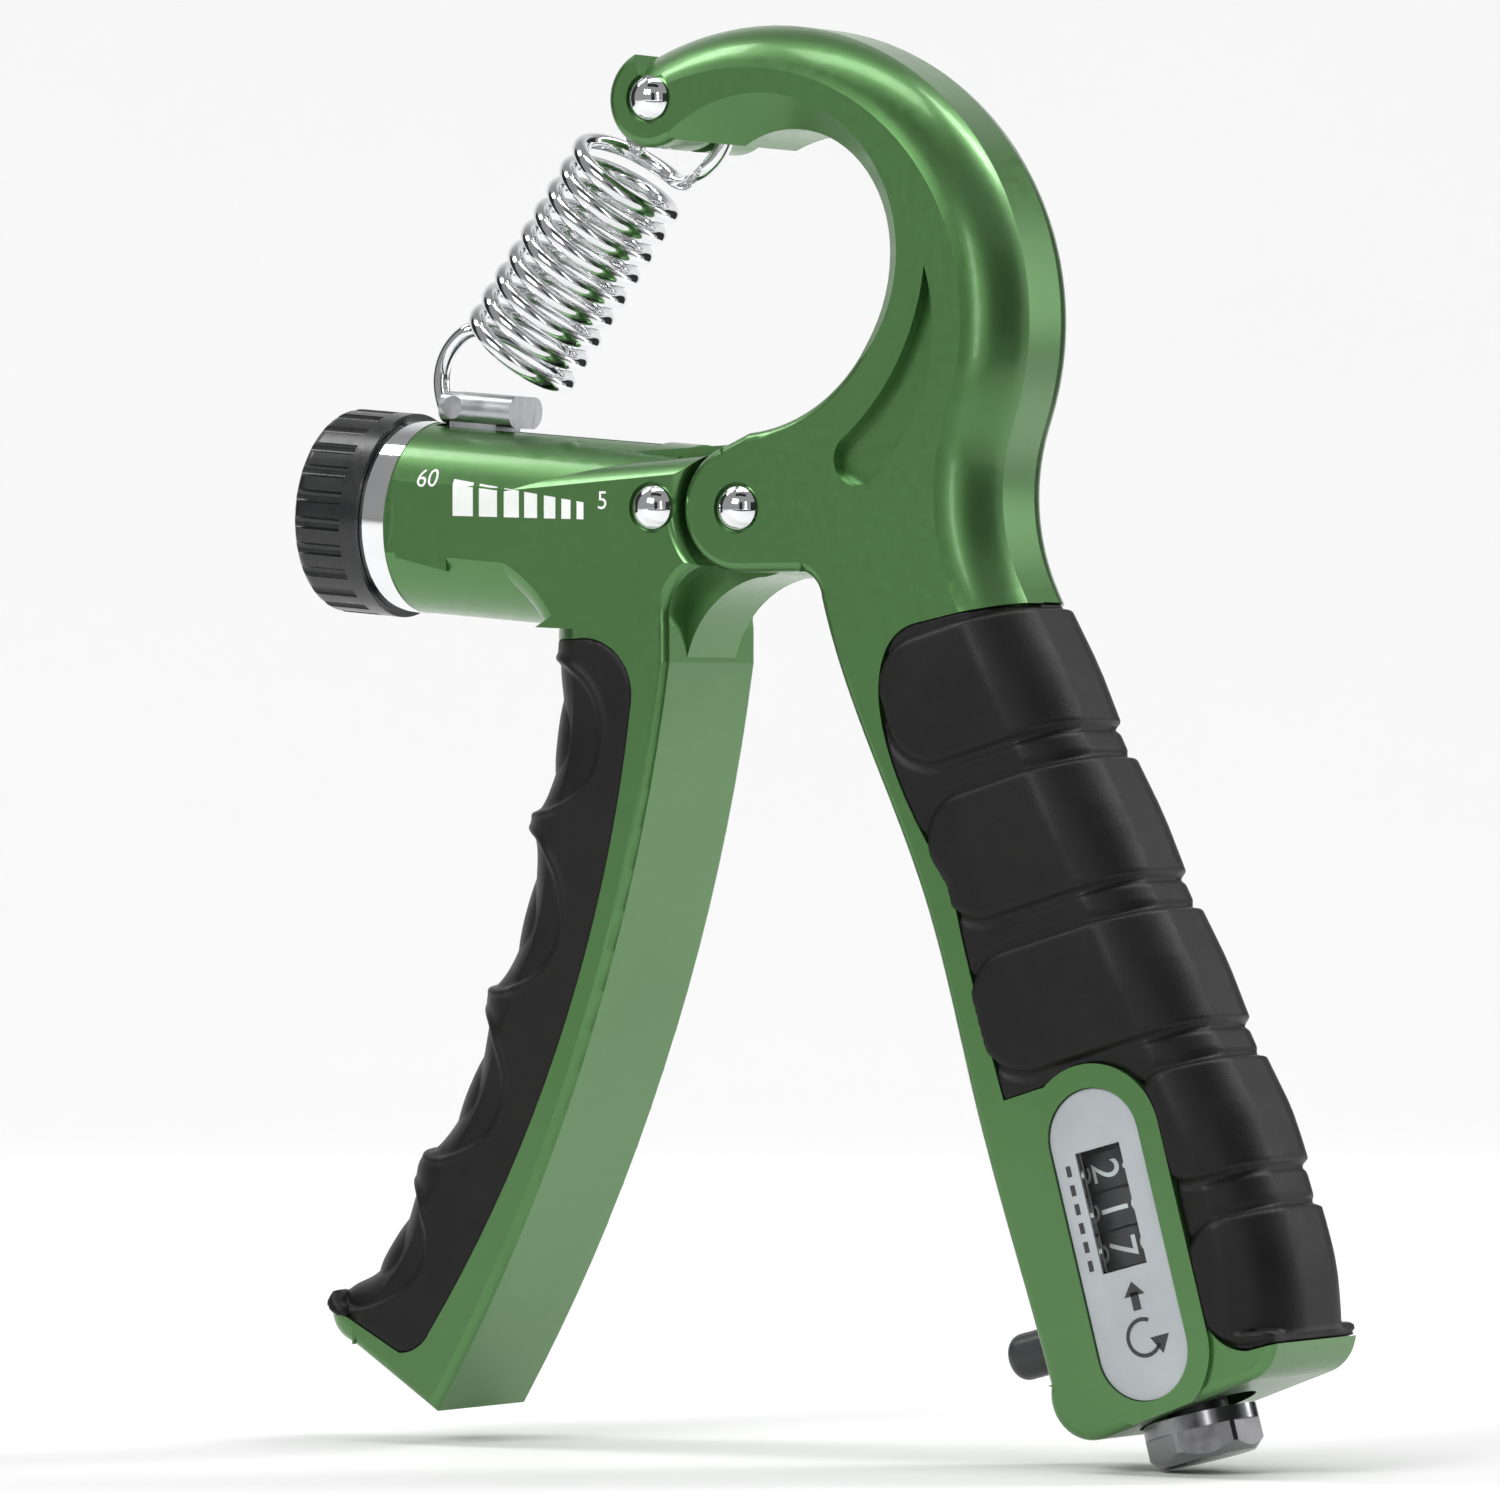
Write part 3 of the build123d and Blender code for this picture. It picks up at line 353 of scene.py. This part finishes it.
def finger_height(x, y, z):
    total = np.zeros_like(x)
    for index, (sx, sz, reach, tall) in enumerate(DENTS):
        lean = 0.12 + 0.09 * index
        u = (x - sx) + lean * (z - sz)
        w = (z - sz) - lean * (x - sx)
        q = (np.abs(u / reach) ** 2.3 + np.abs(w / tall) ** 2.3) ** (1 / 2.3)
        bowl = smoothstep(1.0 - q, 0.0, 0.75)
        step = smoothstep(1.0 - q, 0.0, 0.055)
        lip = 0.22 * np.exp(-(((q - 1.03) / 0.045) ** 2))
        total += lip - 0.4 * step - 0.85 * bowl
    for sx, sz in RIDGES:
        near = np.exp(-(((z - sz - 0.18 * (x - sx)) / 1.9) ** 2))
        outside = smoothstep(-(x - sx), -5.0, 0.5)
        total += 1.15 * near * outside
    return total


finger = remeshed("finger_grip", "finger_rubber", GRIP_VOXEL)
displace(finger, finger_height)
finger.data.materials.clear()
finger.data.materials.append(RUBBER)
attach(finger, "lever")
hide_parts("finger_grip")


# ---------------------------------------------------------------- spring


WIRE_RADIUS = 0.95
COIL_RADIUS = 6.3
COIL_TOP = Vector((-19.0, 0, 39.2))
COIL_FOOT = Vector((-35.3, 0, 17.0))
TURNS = 9.5
END_TURNS = 3.0
TOP_SEAT = 2.65  # from the spring pin's axis to the inside of the upper loop
FOOT_SEAT = 1.35  # from the slider's cross pin's axis to the inside of the lower loop
DOME = (1.45, 1.1, 0.75, 0.38)  # angles of the rings that round off a wire's end
coil_line = COIL_TOP - COIL_FOOT
coil_axis = coil_line.normalized()
coil_side = Vector((coil_axis.z, 0, -coil_axis.x))


def coil_point(turn, radius=COIL_RADIUS):
    angle = math.pi - 2 * math.pi * turn
    out = coil_side * math.cos(angle) + Vector((0, 1, 0)) * math.sin(angle)
    return COIL_FOOT + coil_line * (turn / TURNS) + out * radius


def coil_tangent(turn):
    return (coil_point(turn + 0.01) - coil_point(turn - 0.01)).normalized()


def hermite(p, tp, q, tq, count):
    points = []
    for i in range(1, count):
        t = i / count
        h00, h10 = 2 * t**3 - 3 * t**2 + 1, t**3 - 2 * t**2 + t
        h01, h11 = -2 * t**3 + 3 * t**2, t**3 - t**2
        points.append(p * h00 + tp * h10 + q * h01 + tq * h11)
    return points


def tube(name, points, radius, sides=20, caps=(True, True)):
    """Round wire along a list of points, with domed ends where asked."""
    pts = [Vector(p) for p in points]
    tangents = []
    for i in range(len(pts)):
        a, b = pts[max(i - 1, 0)], pts[min(i + 1, len(pts) - 1)]
        tangents.append((b - a).normalized())
    normal = tangents[0].orthogonal().normalized()
    rings, frames = [], []
    for i, (p, t) in enumerate(zip(pts, tangents)):
        if i:
            normal = (normal - t * normal.dot(t)).normalized()
        frames.append((p, t, normal.copy(), t.cross(normal)))
    stations = [(f, radius, 0.0) for f in frames]
    if caps[0]:
        f = frames[0]
        stations = [(f, radius * math.cos(a), -radius * math.sin(a)) for a in DOME] + stations
    if caps[1]:
        f = frames[-1]
        stations += [(f, radius * math.cos(a), radius * math.sin(a)) for a in DOME[::-1]]
    verts, faces = [], []
    for (p, t, n, b), r, shift in stations:
        for k in range(sides):
            a = 2 * math.pi * k / sides
            verts.append(place(0, 0) + (p + t * shift + (n * math.cos(a) + b * math.sin(a)) * r) * MM)
    for i in range(len(stations) - 1):
        for k in range(sides):
            a, b = i * sides + k, i * sides + (k + 1) % sides
            faces.append((a, b, b + sides, a + sides))
    faces.append(tuple(range(sides))[::-1])
    faces.append(tuple(range(len(verts) - sides, len(verts))))
    return add_mesh(name, verts, faces)


def arc(centre, radius, start, end, count):
    points = []
    for i in range(count + 1):
        a = math.radians(start + (end - start) * i / count)
        points.append(Vector((centre.x + radius * math.cos(a), 0, centre.z + radius * math.sin(a))))
    return points


anchor = (ANCHOR - PIVOT) / MM
pin = (sum((Vector(c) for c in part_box("slider_cross_pin")), Vector()) / 2 - PIVOT) / MM
pull = (anchor - Vector((pin.x, 0, pin.z))).normalized()
top_centre = anchor - pull * (COIL_RADIUS - WIRE_RADIUS - TOP_SEAT)
foot_centre = Vector((pin.x, 0, pin.z)) + pull * (COIL_RADIUS - WIRE_RADIUS - FOOT_SEAT)

lead_out = arc(foot_centre, COIL_RADIUS, 272, 118, 40)
lead_tangent = (lead_out[-1] - lead_out[-2]).normalized()
start_turn = 0.2
bridge = hermite(lead_out[-1], lead_tangent * 7.0, coil_point(start_turn), coil_tangent(start_turn) * 8.0, 18)
lower = lead_out + bridge + [coil_point(start_turn + (END_TURNS - start_turn) * i / 110) for i in range(111)]
end_coil = tube("spring_lower", lower, WIRE_RADIUS, caps=(True, False))
end_coil.data.materials.append(WIRE)

stop_turn = TURNS - 0.2
loop = arc(top_centre, COIL_RADIUS, -52, 205, 60)
loop_tangent = (loop[1] - loop[0]).normalized()
climb = hermite(coil_point(stop_turn), coil_tangent(stop_turn) * 8.0, loop[0], loop_tangent * 8.0, 20)
upper = [coil_point(END_TURNS + (stop_turn - END_TURNS) * i / 250) for i in range(251)] + climb + loop
main_coil = tube("spring_main", upper, WIRE_RADIUS, caps=(False, True))
main_coil.data.materials.append(WIRE)

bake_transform(main_coil)
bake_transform(end_coil)
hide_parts("spring_coil", "spring_upper_hook")
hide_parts("spring_end_coil", "spring_lower_hook")


def return_spring(node_name, name):
    """A copy of a small return spring, held by the frame in place of its CAD node."""
    source = nodes[node_name]
    world = source.matrix_world
    verts = [world @ v.co for v in source.data.vertices]
    spring = add_mesh(name, verts, [list(f.vertices) for f in source.data.polygons])
    spring.data.materials.append(STEEL)
    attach(spring, "frame")
    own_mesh(spring)
    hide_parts(node_name)


return_spring("trigger_spring", "trigger_return")
return_spring("reset_spring", "reset_return")


# ---------------------------------------------------------------- prints


def node_tree(*names):
    verts, faces = [], []
    for name in names:
        mesh = nodes[name].data
        start = len(verts)
        verts += [v.co.copy() for v in mesh.vertices]
        faces += [[start + i for i in p.vertices] for p in mesh.polygons]
    return BVHTree.FromPolygons(verts, faces)


CAP_HEIGHT = 0.73  # of a figure, in a font of size 1
SLICE = 0.05


def glyph_mesh(text, height):
    """Flat mesh of some figures, lower left at the origin, with the given height, in millimetres.

    It is cut in level slices, so that it can follow a curved surface.
    """
    curve = bpy.data.curves.new("glyph", "FONT")
    curve.body = text
    curve.resolution_u = 4
    curve.size = 1.0
    holder = bpy.data.objects.new("glyph", curve)
    bpy.context.scene.collection.objects.link(holder)
    graph = bpy.context.evaluated_depsgraph_get()
    mesh = bpy.data.meshes.new_from_object(holder.evaluated_get(graph))
    fine = bmesh.new()
    fine.from_mesh(mesh)
    for i in range(-6, 22):
        parts = fine.verts[:] + fine.edges[:] + fine.faces[:]
        bmesh.ops.bisect_plane(fine, geom=parts, plane_co=(0, i * SLICE, 0), plane_no=(0, 1, 0))
    fine.to_mesh(mesh)
    fine.free()
    verts = [Vector((v.co.x, v.co.y)) for v in mesh.vertices]
    faces = [list(p.vertices) for p in mesh.polygons]
    bpy.data.objects.remove(holder)
    bpy.data.meshes.remove(mesh)
    scale = height / CAP_HEIGHT
    left = min(v.x for v in verts)
    return [Vector(((v.x - left) * scale, v.y * scale)) for v in verts], faces


def printed(name, shapes, tree, material, body, proud=0.03):
    """Thin printed marks laid on a surface that faces the front. Shapes are in millimetres from the pivot."""
    verts, faces = [], []
    for points, polygons in shapes:
        start = len(verts)
        for p in points:
            origin = place(p[0], p[1], -40.0)
            hit = tree.ray_cast(origin, Vector((0, 1, 0)))[0]
            depth = hit.y if hit else place(0, 0, -10.0).y
            verts.append(Vector((origin.x, depth - proud * MM, origin.z)))
        faces += [[start + i for i in f] for f in polygons]
    obj = add_mesh(name, verts, faces, smooth=False)
    obj.data.materials.append(material)
    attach(obj, body)
    return obj


def text_shape(text, x, z, height, tilt=0.0, spread=1.0):
    points, faces = glyph_mesh(text, height)
    c, s = math.cos(math.radians(tilt)), math.sin(math.radians(tilt))
    return [(x + p.x * spread * c - p.y * s, z + p.x * spread * s + p.y * c) for p in points], faces


def bar_shape(x0, x1, low, high, steps=6):
    """A bar whose top and bottom follow two straight lines, cut in strips so that it follows the surface."""
    points, faces = [], []
    for i in range(steps + 1):
        t = i / steps
        for x in (x0, x1):
            points.append((x, low(x) + (high(x) - low(x)) * t))
    for i in range(steps):
        faces.append((2 * i, 2 * i + 1, 2 * i + 3, 2 * i + 2))
    return points, faces


lever_surface = node_tree("lever_body")
SCALE_FIGURE = 2.1
SCALE_START = -37.3
# left and right edge of each bar of the scale
BARS = [
    (-37.1, -34.4),
    (-33.6, -31.2),
    (-30.3, -28.3),
    (-27.6, -25.9),
    (-25.0, -23.5),
    (-22.7, -21.5),
    (-20.7, -19.8),
]


def bar_foot(x):
    return -0.42 - 0.035 * (x - SCALE_START)


def bar_top(x):
    return 3.75 - 0.165 * (x - SCALE_START)


scale_marks = [
    text_shape("60", -41.9, 2.9, SCALE_FIGURE),
    text_shape("5", -17.9, 0.1, SCALE_FIGURE),
]
for x0, x1 in BARS:
    scale_marks.append(bar_shape(x0, x1, bar_foot, bar_top))
printed("scale_print", scale_marks, lever_surface, INK, "lever")


# ---------------------------------------------------------------- counter


WHEEL_RADIUS = 6.5
FIGURE_PROUD = 0.03
FIGURE_HEIGHT = 3.9
FIGURE_WIDTH = 0.95  # share of the font's own width
FIGURE_MIDDLE = 2.7  # height of a figure that stands at the front


def wheel_digits(node_name, body, first):
    """Ten raised figures round one number wheel, reading down the handle."""
    centre = Vector(joints[body + "_turn"]["pos_m"])
    front = Vector((0, -1, 0))
    verts, faces = [], []
    for step in range(10):
        digit = (first + step) % 10
        points, polygons = glyph_mesh(str(digit), FIGURE_HEIGHT)
        width = max(p.x for p in points)
        start = len(verts)
        for p in points:
            along = (p.x - width / 2) * FIGURE_WIDTH
            angle = (p.y - FIGURE_MIDDLE) / WHEEL_RADIUS - 2 * math.pi * step / 10
            out = front * math.cos(angle) + ACROSS * math.sin(angle)
            verts.append(centre + WHEEL_AXIS * along * MM + out * (WHEEL_RADIUS + FIGURE_PROUD) * MM)
        faces += [[start + i for i in f] for f in polygons]
    obj = add_mesh(node_name + "_figures", verts, faces, smooth=False)
    obj.data.materials.append(DIGIT_INK)
    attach(obj, body)


wheel_digits("hundreds_wheel", "hundreds", 2)
wheel_digits("tens_wheel", "tens", 1)
wheel_digits("units_wheel", "units", 7)


def on_plate(across, along):
    """Point of the counter's plate in millimetres from the pivot."""
    p = (WHEEL - PIVOT) / MM + ACROSS * across + WHEEL_AXIS * along
    return (p.x, p.z)


def ring_shape(cx, cz, outer, inner, start, end, count=28):
    points, faces = [], []
    for i in range(count + 1):
        a = math.radians(start + (end - start) * i / count)
        for r in (inner, outer):
            points.append(on_plate(cx + r * math.cos(a), cz + r * math.sin(a)))
    for i in range(count):
        faces.append((2 * i, 2 * i + 1, 2 * i + 3, 2 * i + 2))
    return points, faces


def strip_shape(x0, z0, x1, z1):
    corners = [on_plate(x0, z0), on_plate(x1, z0), on_plate(x1, z1), on_plate(x0, z1)]
    return corners, [(0, 1, 2, 3)]


plate_marks = [ring_shape(0.4, 14.4, 2.2, 1.75, 30, 300)]
plate_marks.append(([on_plate(3.5, 14.6), on_plate(1.1, 14.6), on_plate(2.3, 16.6)], [(0, 1, 2)]))
plate_marks.append(strip_shape(-0.1, 9.4, 0.9, 11.4))
plate_marks.append(([on_plate(-0.9, 9.8), on_plate(1.7, 9.8), on_plate(0.4, 8.2)], [(0, 1, 2)]))
for k in range(6):
    plate_marks.append(strip_shape(-4.3, -5.6 + 2.1 * k, -3.7, -4.4 + 2.1 * k))
plate_surface = node_tree("counter_plate")
printed("plate_print", plate_marks, plate_surface, DARK_INK, "frame", 0.02)


# ---------------------------------------------------------------- stage


VIEW_TURN = math.radians(31)  # the photo's angle
look = Vector((-math.sin(VIEW_TURN), math.cos(VIEW_TURN), 0))
right = Vector((look.y, -look.x, 0))


def floor_mesh():
    """Floor that curves up into a backdrop behind the object, as the camera sees it."""
    profile = [(-2.5, 0.0), (0.9, 0.0)]
    for i in range(1, 17):
        a = math.pi / 2 * i / 16
        profile.append((0.9 + 0.8 * math.sin(a), 0.8 - 0.8 * math.cos(a)))
    profile.append((1.7, 3.2))
    verts, faces = [], []
    for s in (-4.0, 4.0):
        for d, h in profile:
            verts.append(look * d + right * s + Vector((0, 0, h - 0.0001)))
    n = len(profile)
    for i in range(n - 1):
        faces.append((i, i + 1, n + i + 1, n + i))
    return add_mesh("floor", verts, faces)


def stage_material(name, colour, rough):
    m = Nodes(name)
    cloud = m.noise(3.0, 2.0)
    m.link(m.ramp(cloud, [(0.3, tuple(0.98 * c for c in colour)), (0.7, colour)]), "Base Color")
    m.set(Roughness=rough)
    return m.mat


floor = floor_mesh()
floor.data.materials.append(stage_material("floor_paper", (0.86, 0.86, 0.86), 0.7))

world = bpy.data.worlds.new("studio")
world.use_nodes = True
world.node_tree.nodes["Background"].inputs["Color"].default_value = (1.0, 1.0, 1.0, 1.0)
world.node_tree.nodes["Background"].inputs["Strength"].default_value = 0.32
bpy.context.scene.world = world

middle = place(0, -26.7) + right * (-3.6 * MM)


def lamp(name, offset, size, power, target=None):
    data = bpy.data.lights.new(name, "AREA")
    data.shape = "RECTANGLE"
    data.size, data.size_y = size
    data.energy = power
    obj = bpy.data.objects.new(name, data)
    bpy.context.scene.collection.objects.link(obj)
    obj.location = middle + right * offset[0] + look * offset[1] + Vector((0, 0, offset[2]))
    obj.rotation_euler = ((target or middle) - obj.location).to_track_quat("-Z", "Y").to_euler()
    return obj


lamp("key", (-0.55, -0.7, 0.5), (0.45, 0.3), 5.5)
lamp("fill", (0.2, -0.95, 0.05), (0.1, 0.9), 1.6)
lamp("edge", (0.55, 0.2, 0.3), (0.08, 0.6), 1.2)
lamp("top", (0.0, -0.05, 0.95), (0.7, 0.25), 3.0)
for shift in (-0.9, 0.9):
    lamp("backdrop", (shift, 0.35, 1.1), (0.8, 0.4), 10.0, middle + look * 1.5 + right * shift * 0.6)


def card(name, offset, width, height):
    """Black card outside the picture, for contrast in the bright metal."""
    centre = middle + right * offset[0] + look * offset[1] + Vector((0, 0, offset[2]))
    facing = (middle - centre).normalized()
    across = facing.cross(Vector((0, 0, 1))).normalized()
    up = across.cross(facing)
    corners = []
    for a, b in ((-1, -1), (1, -1), (1, 1), (-1, 1)):
        corners.append(centre + across * a * width / 2 + up * b * height / 2)
    obj = add_mesh(name, corners, [(0, 1, 2, 3)], smooth=False)
    obj.data.materials.append(CARD)
    obj.visible_camera = False
    obj.visible_shadow = False


CARD = stage_material("card_black", (0.01, 0.01, 0.01), 0.9)
card("card_left", (-0.5, 0.25, 0.05), 0.3, 0.8)
card("card_back", (0.42, 0.5, 0.1), 0.35, 0.6)
card("card_right", (0.5, -0.3, -0.05), 0.6, 0.7)
card("card_front", (-0.14, -0.8, -0.05), 0.2, 0.9)
card("card_above", (-0.1, -0.35, 0.62), 0.5, 0.16)
card("card_low", (0.0, -0.42, -0.07), 0.9, 0.06)

FOCAL = 240.0
SENSOR = 36.0
PICTURE_WIDTH = 0.1667  # metres across the picture, at the object
camera_data = bpy.data.cameras.new("camera")
camera_data.lens = FOCAL
camera_data.sensor_width = SENSOR
camera_data.clip_end = 30.0
camera = bpy.data.objects.new("camera", camera_data)
bpy.context.scene.collection.objects.link(camera)
distance = PICTURE_WIDTH * FOCAL / SENSOR
camera.location = middle - look * distance
camera.rotation_euler = look.to_track_quat("-Z", "Y").to_euler()
bpy.context.scene.camera = camera
bpy.context.scene.view_settings.view_transform = "Standard"
